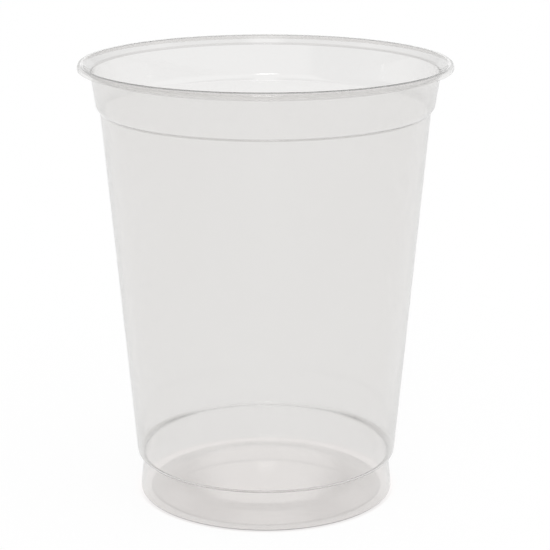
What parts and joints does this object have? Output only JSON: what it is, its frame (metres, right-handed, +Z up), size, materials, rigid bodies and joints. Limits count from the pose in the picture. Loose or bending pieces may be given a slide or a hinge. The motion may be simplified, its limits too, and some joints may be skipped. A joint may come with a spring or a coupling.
{
  "type": "clear plastic disposable cup",
  "caption": "Thin clear plastic drinking cup with a tapered side wall, a flared foot under a stacking ledge, a lid band below the rim, a turned-down rim and a raised floor.",
  "frame": {"origin": "centre of the foot, on the plane that the cup stands on", "axes": "+Z up along the cup's axis of symmetry; X and Y are equal, because the cup is a turned shape"},
  "size_m": [0.098, 0.098, 0.1172],
  "materials": {
    "clear_plastic": "clear thermoformed plastic, glossy on both sides, with a faint grey cast where the wall is seen edge on"
  },
  "bodies": {
    "root": {"cup": "clear_plastic"}
  },
  "joints": []
}
